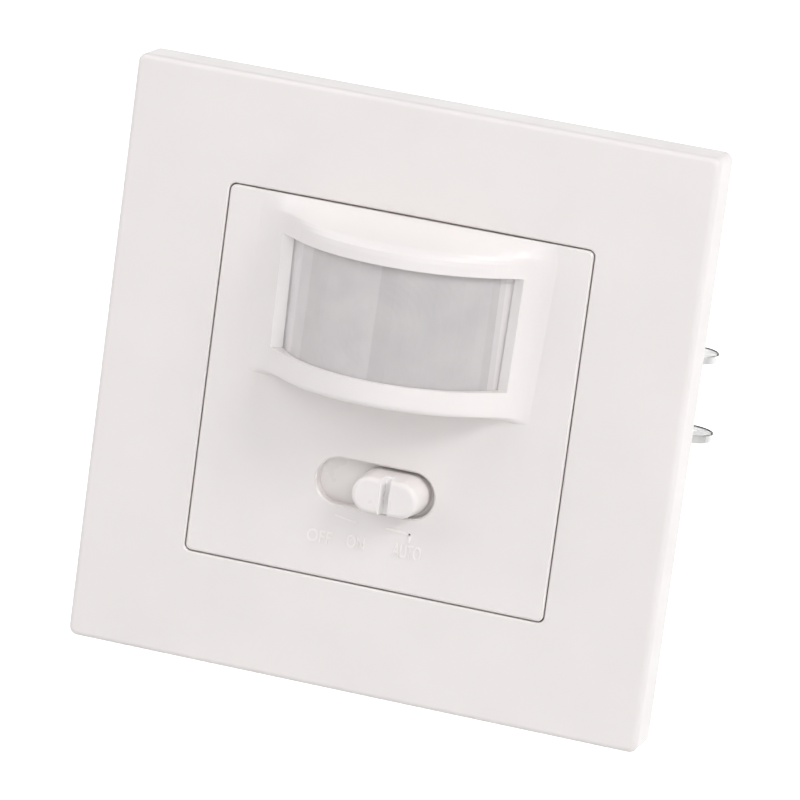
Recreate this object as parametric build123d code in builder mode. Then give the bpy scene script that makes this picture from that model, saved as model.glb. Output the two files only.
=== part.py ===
from build123d import *
from math import asin, cos, radians, sin
import os

# Flush wall switch with a motion sensor, 80 mm square, for a round 60 mm wall box.
# X runs right and Z up as seen from the room, and -Y points from the wall into the room.
# The origin is the centre of the wall plane. A level is a distance in front of that plane,
# and what lies in the box has a negative level.

# Outer frame
frame_side = 80.0
frame_depth = 6.2
frame_skin = 2.0
frame_wall = 2.0
frame_inner_wall = 1.5
frame_corner_radius = 1.2
frame_edge_radius = 0.8
frame_lip_chamfer = 0.2
frame_rib = 1.0
frame_rib_spacing = 32.0
snap_post_spacing = 58.0
snap_post_radius = 1.9
snap_post_slit = 0.8

# Centre cover
cover_side = 50.0
cover_gap = 0.2
cover_skin = 1.8
cover_wall = 1.5
cover_corner_radius = 0.8
cover_edge_chamfer = 0.25
cover_foot_gap = 0.3
cover_tongue_width = 8.0
cover_tongue_thickness = 0.9
cover_tongue_spacing = 22.0
cover_tongue_foot = 1.6
stud_radius = 0.7
stud_length = 1.15
stud_inset = 1.4
stud_low = 4.0
stud_high = 20.0

# Dome of the cover: two bowed rims, a ramp from the upper rim to the top edge of the cover
dome_foot = 0.6
dome_root = 1.0
dome_sink = 0.05
lower_rim_bottom = 1.36
lower_rim_top = 4.7
lower_rim_radius = 17.6
lower_rim_bulge = 10.6
lower_rim_half_width = 20.5
lower_rim_rounding = 0.8
upper_rim_bottom = 20.0
upper_rim_top = 23.0
upper_rim_radius = 19.6
upper_rim_bulge = 9.6
upper_rim_half_width = 21.5
upper_rim_rounding = 1.8
rim_turn = 80.0
rim_steps = 4
shoulder_start_share = 0.62
shoulder_slope_share = 1.0
ramp_end_share = 0.03
window_bevel_run = 1.75
window_bevel_rise = 0.9
window_bevel_reach_share = 4.0
core_bottom = 2.4
core_top = 21.9
core_bulge = 7.6
core_half_width = 14.6

# Lens sheet
lens_thickness = 0.6
lens_clearance = 0.1
lens_flange = 0.9
lens_strips = 20
lens_bottom = 3.6
lens_lower_half_width = 14.7
lens_lower_edge_rise = 0.45
lens_lower_bulge = 9.55
lens_top = 21.1
lens_upper_half_width = 15.05
lens_upper_edge_rise = 0.55
lens_upper_bulge = 8.8

# Lens retainer
retainer_bow = 1.2
retainer_plate = 1.2
retainer_band = 1.6
retainer_margin = 2.9
retainer_bottom = 1.6
retainer_top = 22.2
retainer_stud_fit = 0.08

# Slide knob, its slot and its shutter plate
slot_drop = 11.7
slot_length = 16.4
slot_width = 6.3
slot_chamfer = 0.25
knob_rest = 2.55
knob_travel = 5.1
knob_length = 9.6
knob_width = 5.4
knob_height = 4.2
knob_draft = 4.0
knob_rounding = 0.7
groove_width = 1.35
groove_floor = 0.9
groove_depth = 2.0
shutter_thickness = 0.9
shutter_gap = 0.1
shutter_length = 22.4
shutter_width = 8.4
shutter_corner_radius = 1.0

# Slide switch on the sensor board
case_length = 13.6
case_width = 7.0
case_height = 5.1
case_wall = 0.4
case_base = 2.0
lever_side = 2.2
lever_length = 3.6
lever_fit = 0.08
slider_length = 7.0
slider_thickness = 1.0
slider_gap = 0.15
switch_pin_pitch = 2.5
switch_pin_count = 4
switch_pin_side = 0.6
switch_pin_length = 3.0

# Carrier plate
carrier_margin = 3.0
carrier_thickness = 1.0
carrier_corner_radius = 4.0
carrier_ledge = 4.0
carrier_opening_chamfer = 9.0
box_screw_spacing = 60.0
box_slot_length = 7.0
box_slot_width = 4.2
snap_hole_radius = 2.2
claw_hole_radius = 2.4
carrier_clearance = 0.2

# Front shell
shell_margin = 0.7
shell_corner_radius = 2.0
shell_plate = 1.2
shell_wall = 1.2
shell_foot = 0.8
shell_boss_radius = 3.6
funnel_radius = 5.2
funnel_chamfer = 1.0
light_hole_radius = 3.0
dial_hole_radius = 3.3
switch_window_margin = 0.4
standoff_spacing = 31.0
standoff_height = 6.5
standoff_radius = 2.2
pilot_depth = 2.5

# Screws that join shell, carrier and housing
shell_screw_inset = 5.8
shell_screw_radius = 1.5
shell_screw_head_radius = 2.7
shell_screw_reach = 6.0
screw_clearance = 0.1
thread_fit = 0.05
board_screw_radius = 1.0
board_screw_head_radius = 1.9
board_screw_head = 1.2
board_screw_reach = 2.2

# Sensor board and what it carries
board_clearance = 1.4
board_thickness = 1.6
boss_clearance = 0.6
sensor_board_drop = 2.0
sensor_height = 12.3
sensor_spacer_radius = 4.3
sensor_spacer = 0.8
sensor_flange_radius = 4.55
sensor_flange = 0.5
sensor_can_radius = 4.1
sensor_can_height = 3.7
sensor_pane_side = 4.2
sensor_pane = 0.4
sensor_lead_radius = 0.25
sensor_lead_circle = 2.5
sensor_lead_count = 3
lead_tail = 1.2
lead_fit = 0.1
lead_sides = 8
light_cell_place = -9.5
light_cell_height = 9.0
light_cell_radius = 2.5
light_cell_thickness = 1.8
light_cell_stand = 1.8
light_cell_lead_pitch = 2.6
dial_spacing = 30.0
dial_drop = 3.0
trimmer_side = 6.5
trimmer_height = 3.5
dial_radius = 2.6
dial_height = 1.2
dial_pin_radius = 1.0
dial_pin_length = 2.0
dial_pin_fit = 0.06
dial_slot_width = 0.7
dial_slot_depth = 0.6
chip_length = 10.2
chip_width = 5.4
chip_height = 2.0
chip_place = -3.0
chip_drop = 4.0
chip_leg_pitch = 1.27
chip_leg_count = 8
chip_leg_width = 0.4
chip_leg_reach = 1.2
chip_leg_thickness = 0.3
capacitor_radius = 2.5
capacitor_height = 7.0
capacitor_place = 11.0
capacitor_pitch = 6.0
chip_part_length = 2.0
chip_part_width = 1.25
chip_part_height = 0.6
chip_part_pitch_x = 3.4
chip_part_pitch_z = 2.4
chip_part_columns = 4
chip_part_rows = 2
chip_part_place = -4.0
chip_part_height_on_board = 6.0

# Link between the two boards
link_height = 17.5
link_pin_count = 8
link_pitch = 2.54
link_pin_side = 0.64
link_pin_fit = 0.1
link_strip_depth = 2.5
link_pin_tail = 0.5
link_gap = 5.9
link_pin_seat = 3.5

# Power board and what it carries
power_board_stand = 14.6
power_board_chamfer = 6.0
power_board_notch_height = 19.2
power_board_notch_depth = 3.1
pillar_radius = 2.2
pillar_spacing_x = 34.6
pillar_spacing_z = 29.0
pillar_pilot_depth = 6.0
relay_length = 19.0
relay_width = 15.5
relay_front_gap = 3.5
relay_place = -4.9
relay_drop = 10.5
relay_edge_radius = 0.8
film_length = 18.0
film_width = 8.5
film_front_gap = 3.8
film_place = -5.5
film_rise = 7.0
film_edge_radius = 0.8
smoothing_radius = 5.0
smoothing_front_gap = 2.8
smoothing_place = 10.0
smoothing_drop = 12.5
smoothing_bead = 0.4
smoothing_bead_height = 2.5
bridge_length = 8.5
bridge_width = 6.5
bridge_height = 3.3
bridge_place = 9.5
bridge_rise = 4.5
surge_radius = 5.0
surge_thickness = 4.0
surge_place = 10.0
surge_rise = 11.5
fuse_radius = 4.0
fuse_front_gap = 3.8
fuse_place = 10.0
fuse_drop = 3.2
resistor_radius = 1.4
resistor_length = 7.0
resistor_place = -4.6
resistor_pitch = 8.6
resistor_rise = 13.7
resistor_lead = 0.35

# Terminal block with rising cages
pole_count = 3
pole_pitch = 9.5
block_height = 10.4
block_base = 0.8
block_cell_width = 6.9
wire_wall = 1.0
wire_hole_radius = 1.7
wire_space = 3.0
cage_width = 6.2
cage_length = 6.4
cage_side_wall = 0.8
cage_front_wall = 0.8
cage_thread_wall = 1.0
cage_gap = 0.2
cage_travel = 2.5
contact_width = 4.0
contact_thickness = 0.8
contact_gap = 0.1
contact_leg_gap = 0.3
terminal_screw_radius = 1.5
terminal_screw_fit = 0.08
terminal_head_radius = 2.7
terminal_head = 1.6
terminal_head_slot = 0.9
terminal_head_clearance = 0.3
access_hole_radius = 2.9

# Rear housing
housing_side = 46.0
housing_depth = 37.0
housing_corner = 6.0
housing_wall = 1.6
recess_height = 15.0
recess_back_depth = 5.9
housing_boss_radius = 3.2
housing_boss_length = 6.8
housing_edge_radius = 0.8

# Spreader claws and their screws
claw_stand = 3.0
claw_pivot_drop = 1.55
claw_toe_radius = 1.5
claw_sheet = 1.1
claw_inner_gap = 9.9
claw_arm_width = 3.0
claw_arm_end = 26.0
claw_foot_start = 29.0
claw_foot_inner = 3.3
claw_foot_outer = 4.8
claw_back = 37.3
claw_tooth = 3.5
claw_tooth_rounding = 0.35
claw_web_start = 30.2
claw_screw_radius = 1.75
claw_screw_fit = 0.1
claw_screw_end = 37.0
claw_head_radius = 2.75
claw_head_height = 2.0
claw_head_stand = 0.45
claw_head_slot = 0.9
claw_notch = 8.0

# Sizes that follow from the ones above
panel_level = frame_depth
frame_opening = cover_side + 2 * cover_gap
frame_hollow = frame_side - 2 * frame_wall
frame_collar = frame_opening + 2 * frame_inner_wall
collar_foot = carrier_thickness + carrier_clearance
cover_foot = carrier_thickness + cover_foot_gap
cover_inside = cover_side - 2 * cover_wall
retainer_width = cover_inside - 2 * retainer_margin
stud_spacing = retainer_width - 2 * stud_inset
carrier_side = frame_hollow - 2 * carrier_margin
carrier_opening = housing_side - 2 * carrier_ledge
shell_side = housing_side - 2 * shell_margin
shell_screw_spacing = housing_side - 2 * shell_screw_inset
board_side = housing_side - 2 * (housing_wall + board_clearance)
boss_reach = shell_screw_spacing / 2 - housing_boss_radius - boss_clearance
board_notch = board_side / 2 - boss_reach
claw_spacing = housing_side + 2 * claw_stand
panel_back = panel_level - cover_skin
shutter_front = panel_back - shutter_gap
shutter_back = shutter_front - shutter_thickness
shell_floor = carrier_thickness + shell_foot
shell_front = shell_floor + shell_plate
board_back = sensor_board_drop + board_thickness
power_board_drop = housing_depth - power_board_stand
power_board_back = power_board_drop + board_thickness
board_space = power_board_drop - board_back
relay_height = board_space - relay_front_gap
film_height = board_space - film_front_gap
smoothing_height = board_space - smoothing_front_gap
fuse_height = board_space - capacitor_height - fuse_front_gap
link_socket_depth = board_space - link_strip_depth - link_gap
housing_floor = housing_depth - housing_wall
case_front = case_height - sensor_board_drop
slider_front = case_front - case_wall - slider_gap
pole_places = [(pole - (pole_count - 1) / 2) * pole_pitch for pole in range(pole_count)]
overrun = frame_depth


def facing(level):
    """Plane parallel to the wall, in front of it: x right, y up, facing the room."""
    return Plane.XZ.offset(level)


def across(height):
    """Level plane at a height, from the panel face: x right, y into the wall."""
    return Plane((0, -panel_level, height))


def arc_radius(half_chord, rise):
    """Radius of an arc from half its chord and its rise."""
    return (half_chord**2 + rise**2) / (2 * rise)


def half_chord_of(radius, rise):
    """Half the chord of an arc from its radius and its rise."""
    return (radius**2 - (radius - rise) ** 2) ** 0.5


def bow_points(radius, centre, half_width):
    """Points of an arc across the lens, one at the edge of each strip."""
    end = asin(half_width / radius)
    turns = [end * (2 * strip / lens_strips - 1) for strip in range(lens_strips + 1)]
    return [(radius * sin(turn), centre - radius * cos(turn)) for turn in turns]


def front_edges(part):
    """Edges of the face of a part that lies nearest the room."""
    return part.faces().sort_by(Axis.Y)[0].edges()


os.makedirs("parts", exist_ok=True)

# Outer frame: a skin with an outer wall and a collar round the cover, ribs and four snap posts
with BuildPart() as outer_frame:
    with BuildSketch(facing(0)):
        RectangleRounded(frame_side, frame_side, frame_corner_radius)
    extrude(amount=frame_depth)
    fillet(front_edges(outer_frame), frame_edge_radius)
    with BuildSketch(facing(0)):
        RectangleRounded(frame_hollow, frame_hollow, frame_corner_radius / 2)
    extrude(amount=frame_depth - frame_skin, mode=Mode.SUBTRACT)
    with BuildSketch(facing(collar_foot)):
        RectangleRounded(frame_collar, frame_collar, cover_corner_radius + frame_inner_wall)
        with GridLocations(0, frame_rib_spacing, 1, 2):
            Rectangle(frame_hollow, frame_rib)
        with GridLocations(frame_rib_spacing, 0, 2, 1):
            Rectangle(frame_rib, frame_hollow)
    extrude(amount=frame_depth - frame_skin - collar_foot)
    with BuildSketch(facing(0)):
        with GridLocations(snap_post_spacing, snap_post_spacing, 2, 2):
            Circle(snap_post_radius)
            Rectangle(2 * snap_post_radius, snap_post_slit, mode=Mode.SUBTRACT)
    extrude(amount=frame_depth - frame_skin)
    with BuildSketch(facing(0)):
        RectangleRounded(frame_opening, frame_opening, cover_corner_radius + cover_gap)
    extrude(amount=frame_depth, mode=Mode.SUBTRACT)
    with BuildSketch(facing(0)):
        Rectangle(frame_collar, claw_notch)
    extrude(amount=frame_depth - frame_skin, mode=Mode.SUBTRACT)
    lip = [
        edge
        for edge in front_edges(outer_frame)
        if max(abs(edge.center().X), abs(edge.center().Z)) < frame_collar / 2
    ]
    chamfer(lip, frame_lip_chamfer)
outer_frame.part.label = "outer_frame"
export_step(outer_frame.part, "parts/outer_frame.step")

# Dome of the cover: plan sections joined by straight rulings, more of them round the rims' edges
lower_rim = (lower_rim_radius, lower_rim_bulge, lower_rim_half_width)
upper_rim = (upper_rim_radius, upper_rim_bulge, upper_rim_half_width)
rim_angles = [radians(rim_turn * step / rim_steps) for step in range(rim_steps + 1)]
dome_sections = [(dome_foot, ramp_end_share, *lower_rim)]
for angle in reversed(rim_angles):
    height = lower_rim_bottom + lower_rim_rounding * (1 - sin(angle))
    share = 1 - lower_rim_rounding * (1 - cos(angle)) / lower_rim_bulge
    dome_sections.append((height, share, *lower_rim))
for angle in rim_angles:
    height = upper_rim_top - upper_rim_rounding * (1 - sin(angle))
    share = 1 - upper_rim_rounding * (1 - cos(angle)) / upper_rim_bulge
    dome_sections.append((height, share, *upper_rim))
dome_sections.append((cover_side / 2, ramp_end_share, *upper_rim))
with BuildPart() as dome:
    for height, rise_share, radius, bulge, half_width in dome_sections:
        shoulder = half_width * shoulder_start_share
        front = bulge * rise_share
        side = (bulge - radius + (radius**2 - shoulder**2) ** 0.5) * rise_share
        slope = shoulder_slope_share * rise_share
        with BuildSketch(across(height)):
            with BuildLine():
                ThreePointArc((-shoulder, -side), (0, -front), (shoulder, -side))
                Spline((shoulder, -side), (half_width, dome_sink), tangents=[(1, slope), (1, 0)])
                Line((half_width, dome_sink), (half_width, dome_root))
                Line((half_width, dome_root), (-half_width, dome_root))
                Line((-half_width, dome_root), (-half_width, dome_sink))
                Spline((-half_width, dome_sink), (-shoulder, -side), tangents=[(1, 0), (1, -slope)])
            make_face()
    loft(ruled=True)

# Centre cover: panel with skirt, dome, lens pocket, flared window, knob slot, tongues and studs
lens_sections = (
    (lens_bottom, lens_lower_half_width, lens_lower_edge_rise, lens_lower_bulge),
    (lens_top, lens_upper_half_width, lens_upper_edge_rise, lens_upper_bulge),
)
window_bevel_reach = window_bevel_run * window_bevel_reach_share
window_bevel_front = window_bevel_rise * window_bevel_reach_share
with BuildPart() as centre_cover:
    with BuildSketch(facing(cover_foot)):
        RectangleRounded(cover_side, cover_side, cover_corner_radius)
    extrude(amount=panel_level - cover_foot)
    chamfer(front_edges(centre_cover), cover_edge_chamfer)
    with BuildSketch(facing(cover_foot)):
        RectangleRounded(cover_inside, cover_inside, cover_corner_radius / 2)
        Rectangle(cover_side, claw_notch)
    extrude(amount=panel_back - cover_foot, mode=Mode.SUBTRACT)
    add(dome.part)
    # Pocket that takes the lens from behind
    for height, half_width, edge_rise, bulge in lens_sections:
        rim_height = height + (lens_clearance if height == lens_top else -lens_clearance)
        flange = half_width + lens_flange + lens_clearance
        edge = edge_rise + lens_clearance
        with BuildSketch(across(rim_height)):
            with BuildLine():
                Line((-flange, overrun), (-flange, -edge))
                Line((-flange, -edge), (-half_width, -edge))
                ThreePointArc(
                    (-half_width, -edge),
                    (0, -bulge - lens_clearance),
                    (half_width, -edge),
                )
                Line((half_width, -edge), (flange, -edge))
                Line((flange, -edge), (flange, overrun))
                Line((flange, overrun), (-flange, overrun))
            make_face()
    loft(ruled=True, mode=Mode.SUBTRACT)
    # Hollow behind both rims
    for height in (core_bottom, core_top):
        with BuildSketch(across(height)):
            with BuildLine():
                ThreePointArc((-core_half_width, 0), (0, -core_bulge), (core_half_width, 0))
                Line((core_half_width, 0), (core_half_width, overrun))
                Line((core_half_width, overrun), (-core_half_width, overrun))
                Line((-core_half_width, overrun), (-core_half_width, 0))
            make_face()
    loft(ruled=True, mode=Mode.SUBTRACT)
    # Window with flared sides
    lens_growth = (lens_upper_half_width - lens_lower_half_width) / (lens_top - lens_bottom)
    edge_growth = (lens_upper_edge_rise - lens_lower_edge_rise) / (lens_top - lens_bottom)
    for height in (lower_rim_top, upper_rim_bottom):
        sill = lens_lower_half_width + lens_growth * (height - lens_bottom)
        edge = lens_lower_edge_rise + edge_growth * (height - lens_bottom)
        with BuildSketch(across(height)):
            with BuildLine():
                Polyline(
                    (-sill, -edge),
                    (-sill - window_bevel_reach, -edge - window_bevel_front),
                    (-sill - window_bevel_reach, -lower_rim_bulge - overrun),
                    (sill + window_bevel_reach, -lower_rim_bulge - overrun),
                    (sill + window_bevel_reach, -edge - window_bevel_front),
                    (sill, -edge),
                    close=True,
                )
            make_face()
    loft(ruled=True, mode=Mode.SUBTRACT)
    # Knob slot with a chamfered rim
    with BuildSketch(facing(panel_back)):
        with Locations((0, -slot_drop)):
            SlotOverall(slot_length, slot_width)
    extrude(amount=cover_skin, mode=Mode.SUBTRACT)
    slot_rim = [
        edge
        for edge in centre_cover.edges()
        if abs(edge.center().Y + panel_level) < slot_chamfer / 2
        and abs(edge.center().X) < slot_length / 2 + slot_chamfer
        and abs(edge.center().Z + slot_drop) < slot_width / 2 + slot_chamfer
    ]
    chamfer(slot_rim, slot_chamfer)
    # Tongues that locate the cover on the shell, and studs that hold the retainer
    tongue_place = shell_side / 2 + carrier_clearance + cover_tongue_thickness / 2
    with BuildSketch(facing(cover_tongue_foot)):
        with GridLocations(cover_tongue_spacing, 2 * tongue_place, 2, 2):
            Rectangle(cover_tongue_width, cover_tongue_thickness)
    extrude(amount=panel_back - cover_tongue_foot)
    with BuildSketch(facing(panel_back - stud_length)):
        with Locations((0, (stud_low + stud_high) / 2)):
            with GridLocations(stud_spacing, stud_high - stud_low, 2, 2):
                Circle(stud_radius)
    extrude(amount=stud_length)
centre_cover.part.label = "centre_cover"
export_step(centre_cover.part, "parts/centre_cover.step")

# Lens: a thin sheet bowed in narrow strips, with a flat flange at each side
with BuildPart() as fresnel_lens:
    for height, half_width, edge_rise, bulge in lens_sections:
        radius = arc_radius(half_width, bulge - edge_rise)
        back_radius = radius - lens_thickness
        back_half_width = half_chord_of(back_radius, bulge - edge_rise)
        back_rise = edge_rise - lens_thickness
        flange = half_width + lens_flange
        with BuildSketch(across(height)):
            with BuildLine():
                Polyline(
                    (-flange, -edge_rise),
                    *bow_points(radius, radius - bulge, half_width),
                    (flange, -edge_rise),
                    (flange, -back_rise),
                    *reversed(bow_points(back_radius, radius - bulge, back_half_width)),
                    (-flange, -back_rise),
                    close=True,
                )
            make_face()
    loft(ruled=True)
fresnel_lens.part.label = "fresnel_lens"
export_step(fresnel_lens.part, "parts/fresnel_lens.step")

# Lens retainer: two bowed bands on a plate, with a step that backs the lens flanges
lens_set_back = lens_thickness + lens_clearance
with BuildPart() as lens_retainer:
    retainer_height = retainer_top - retainer_bottom
    with BuildSketch(facing(panel_back - retainer_plate)):
        with Locations((0, (retainer_top + retainer_bottom) / 2)):
            Rectangle(retainer_width, retainer_height)
    extrude(amount=retainer_plate)
    for height, half_width, edge_rise, bulge in lens_sections:
        radius = arc_radius(half_width, bulge - edge_rise) - lens_set_back
        foot_rise = edge_rise - lens_set_back
        bow = half_chord_of(radius, bulge - edge_rise)
        step = half_width + lens_flange
        with BuildSketch(across(height)):
            with BuildLine():
                Line((-step, cover_skin), (-step, -foot_rise))
                Line((-step, -foot_rise), (-bow, -foot_rise))
                ThreePointArc((-bow, -foot_rise), (0, lens_set_back - bulge), (bow, -foot_rise))
                Line((bow, -foot_rise), (step, -foot_rise))
                Line((step, -foot_rise), (step, cover_skin))
                Line((step, cover_skin), (-step, cover_skin))
            make_face()
    loft(ruled=True)
    for height, half_width, edge_rise, bulge in lens_sections:
        set_back = lens_set_back + retainer_bow
        radius = arc_radius(half_width, bulge - edge_rise) - set_back
        foot_rise = edge_rise - lens_set_back
        bow = half_chord_of(radius, bulge - set_back - foot_rise)
        back = cover_skin + retainer_plate
        with BuildSketch(across(height)):
            with BuildLine():
                ThreePointArc((-bow, -foot_rise), (0, set_back - bulge), (bow, -foot_rise))
                Line((bow, -foot_rise), (bow, back))
                Line((bow, back), (-bow, back))
                Line((-bow, back), (-bow, -foot_rise))
            make_face()
    loft(ruled=True, mode=Mode.SUBTRACT)
    window_middle = (lens_bottom + lens_top) / 2
    window_height = lens_top - lens_bottom - 2 * retainer_band
    with BuildSketch(facing(panel_level + lens_upper_edge_rise)):
        with Locations((0, window_middle)):
            Rectangle(2 * lens_upper_half_width, window_height)
    extrude(amount=lens_lower_bulge, mode=Mode.SUBTRACT)
    with BuildSketch(facing(panel_back - retainer_plate)):
        with Locations((0, (stud_low + stud_high) / 2)):
            with GridLocations(stud_spacing, stud_high - stud_low, 2, 2):
                Circle(stud_radius + retainer_stud_fit)
    extrude(amount=retainer_plate, mode=Mode.SUBTRACT)
lens_retainer.part.label = "lens_retainer"
export_step(lens_retainer.part, "parts/lens_retainer.step")

# Slide knob: two rounded pads over a shutter plate that closes the slot from behind
with BuildPart() as mode_knob:
    with BuildSketch(facing(shutter_back)):
        with Locations((knob_rest, -slot_drop)):
            RectangleRounded(shutter_length, shutter_width, shutter_corner_radius)
    extrude(amount=shutter_thickness)
    with BuildSketch(facing(shutter_front)):
        with Locations((knob_rest, -slot_drop)):
            SlotOverall(knob_length, knob_width)
    extrude(amount=panel_level - shutter_front)
    with BuildSketch(facing(panel_level)):
        with Locations((knob_rest, -slot_drop)):
            SlotOverall(knob_length, knob_width)
    extrude(amount=knob_height, taper=knob_draft)
    fillet(front_edges(mode_knob), knob_rounding)
    with BuildSketch(across(-slot_drop)):
        with BuildLine():
            Polyline(
                (knob_rest - groove_width / 2, -knob_height),
                (knob_rest + groove_width / 2, -knob_height),
                (knob_rest + groove_floor / 2, groove_depth - knob_height),
                (knob_rest - groove_floor / 2, groove_depth - knob_height),
                close=True,
            )
        make_face()
    extrude(amount=knob_width / 2, both=True, mode=Mode.SUBTRACT)
    with BuildSketch(facing(shutter_back)):
        with Locations((knob_rest, -slot_drop)):
            Rectangle(lever_side + 2 * lever_fit, lever_side + 2 * lever_fit)
    extrude(amount=slider_front + lever_length + lever_fit - shutter_back, mode=Mode.SUBTRACT)
mode_knob.part.label = "mode_knob"
export_step(mode_knob.part, "parts/mode_knob.step")

# Switch case: a can on a solid base, with a slot for the lever
with BuildPart() as switch_case:
    with BuildSketch(facing(-sensor_board_drop)):
        with Locations((0, -slot_drop)):
            Rectangle(case_length, case_width)
    extrude(amount=case_height)
    with BuildSketch(facing(case_base - sensor_board_drop)):
        with Locations((0, -slot_drop)):
            Rectangle(case_length - 2 * case_wall, case_width - 2 * case_wall)
    extrude(amount=case_height - case_base - case_wall, mode=Mode.SUBTRACT)
    with BuildSketch(facing(case_front - case_wall)):
        with Locations((0, -slot_drop)):
            Rectangle(knob_travel + lever_side + 2 * case_wall, lever_side + 2 * case_wall)
    extrude(amount=case_wall, mode=Mode.SUBTRACT)
switch_case.part.label = "switch_case"
export_step(switch_case.part, "parts/switch_case.step")

# Switch slider with the lever that the knob sits on
with BuildPart() as switch_slider:
    with BuildSketch(facing(slider_front - slider_thickness)):
        with Locations((knob_rest, -slot_drop)):
            Rectangle(slider_length, case_width - 2 * case_wall - 2 * slider_gap)
    extrude(amount=slider_thickness)
    with BuildSketch(facing(slider_front)):
        with Locations((knob_rest, -slot_drop)):
            Rectangle(lever_side, lever_side)
    extrude(amount=lever_length)
switch_slider.part.label = "switch_slider"
export_step(switch_slider.part, "parts/switch_slider.step")

# Switch pins, through the sensor board
with BuildPart() as switch_pins:
    with BuildSketch(facing(-sensor_board_drop)):
        with Locations((0, -slot_drop)):
            with GridLocations(switch_pin_pitch, 0, switch_pin_count, 1):
                Rectangle(switch_pin_side, switch_pin_side)
    extrude(amount=-switch_pin_length)
switch_pins.part.label = "switch_pins"
export_step(switch_pins.part, "parts/switch_pins.step")

# Carrier plate: zinc-plated sheet with an eight-sided opening and slots for the box screws
with BuildPart() as carrier_plate:
    with BuildSketch(facing(0)):
        RectangleRounded(carrier_side, carrier_side, carrier_corner_radius)
    extrude(amount=carrier_thickness)
    with BuildSketch(facing(0)) as opening:
        Rectangle(carrier_opening, carrier_opening)
        chamfer(opening.vertices(), carrier_opening_chamfer)
    extrude(amount=carrier_thickness, mode=Mode.SUBTRACT)
    with BuildSketch(facing(0)):
        with GridLocations(0, box_screw_spacing, 1, 2):
            SlotOverall(box_slot_length, box_slot_width, rotation=90)
        with GridLocations(snap_post_spacing, snap_post_spacing, 2, 2):
            Circle(snap_hole_radius)
        with GridLocations(shell_screw_spacing, shell_screw_spacing, 2, 2):
            Circle(shell_screw_radius + screw_clearance)
        with GridLocations(claw_spacing, 0, 2, 1):
            Circle(claw_hole_radius)
    extrude(amount=carrier_thickness, mode=Mode.SUBTRACT)
carrier_plate.part.label = "carrier_plate"
export_step(carrier_plate.part, "parts/carrier_plate.step")

# Front shell: plate with a rim, four screw wells, holes for sensors and dials, two standoffs
with BuildPart() as front_shell:
    with BuildSketch(facing(carrier_thickness)):
        RectangleRounded(shell_side, shell_side, shell_corner_radius)
    extrude(amount=shell_front - carrier_thickness)
    with BuildSketch(facing(carrier_thickness)):
        Rectangle(shell_side - 2 * shell_wall, shell_side - 2 * shell_wall)
        with GridLocations(shell_screw_spacing, shell_screw_spacing, 2, 2):
            Circle(shell_boss_radius, mode=Mode.SUBTRACT)
    extrude(amount=shell_foot, mode=Mode.SUBTRACT)
    with BuildSketch(facing(-sensor_board_drop)):
        with Locations((0, standoff_height)):
            with GridLocations(standoff_spacing, 0, 2, 1):
                Circle(standoff_radius)
    extrude(amount=shell_floor + sensor_board_drop)
    with BuildSketch(facing(-sensor_board_drop)):
        with Locations((0, standoff_height)):
            with GridLocations(standoff_spacing, 0, 2, 1):
                Circle(board_screw_radius + thread_fit)
    extrude(amount=pilot_depth, mode=Mode.SUBTRACT)
    with BuildSketch(facing(carrier_thickness)):
        with GridLocations(shell_screw_spacing, shell_screw_spacing, 2, 2):
            Circle(shell_screw_radius + screw_clearance)
    extrude(amount=shell_foot, mode=Mode.SUBTRACT)
    with BuildSketch(facing(shell_floor)):
        with GridLocations(shell_screw_spacing, shell_screw_spacing, 2, 2):
            Circle(shell_screw_head_radius + 2 * screw_clearance)
        with Locations((light_cell_place, light_cell_height)):
            Circle(light_hole_radius)
        with Locations((0, -dial_drop)):
            with GridLocations(dial_spacing, 0, 2, 1):
                Circle(dial_hole_radius)
        with Locations((0, -slot_drop)):
            Rectangle(case_length + 2 * switch_window_margin, case_width + 2 * switch_window_margin)
        with Locations((0, sensor_height)):
            Circle(funnel_radius)
    extrude(amount=shell_plate, mode=Mode.SUBTRACT)
    funnel_rim = [
        edge
        for edge in front_shell.edges().filter_by(GeomType.CIRCLE)
        if abs(edge.radius - funnel_radius) < screw_clearance
        and abs(edge.center().Y + shell_front) < screw_clearance
    ]
    chamfer(funnel_rim, funnel_chamfer)
front_shell.part.label = "front_shell"
export_step(front_shell.part, "parts/front_shell.step")

# Four screws through shell and carrier into the housing
with BuildPart() as shell_screws:
    with BuildSketch(facing(-shell_screw_reach)):
        with GridLocations(shell_screw_spacing, shell_screw_spacing, 2, 2):
            Circle(shell_screw_radius)
    extrude(amount=shell_screw_reach + shell_floor)
    with BuildSketch(facing(shell_floor)):
        with GridLocations(shell_screw_spacing, shell_screw_spacing, 2, 2):
            Circle(shell_screw_head_radius)
    extrude(amount=shell_plate)
shell_screws.part.label = "shell_screws"
export_step(shell_screws.part, "parts/shell_screws.step")

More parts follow.
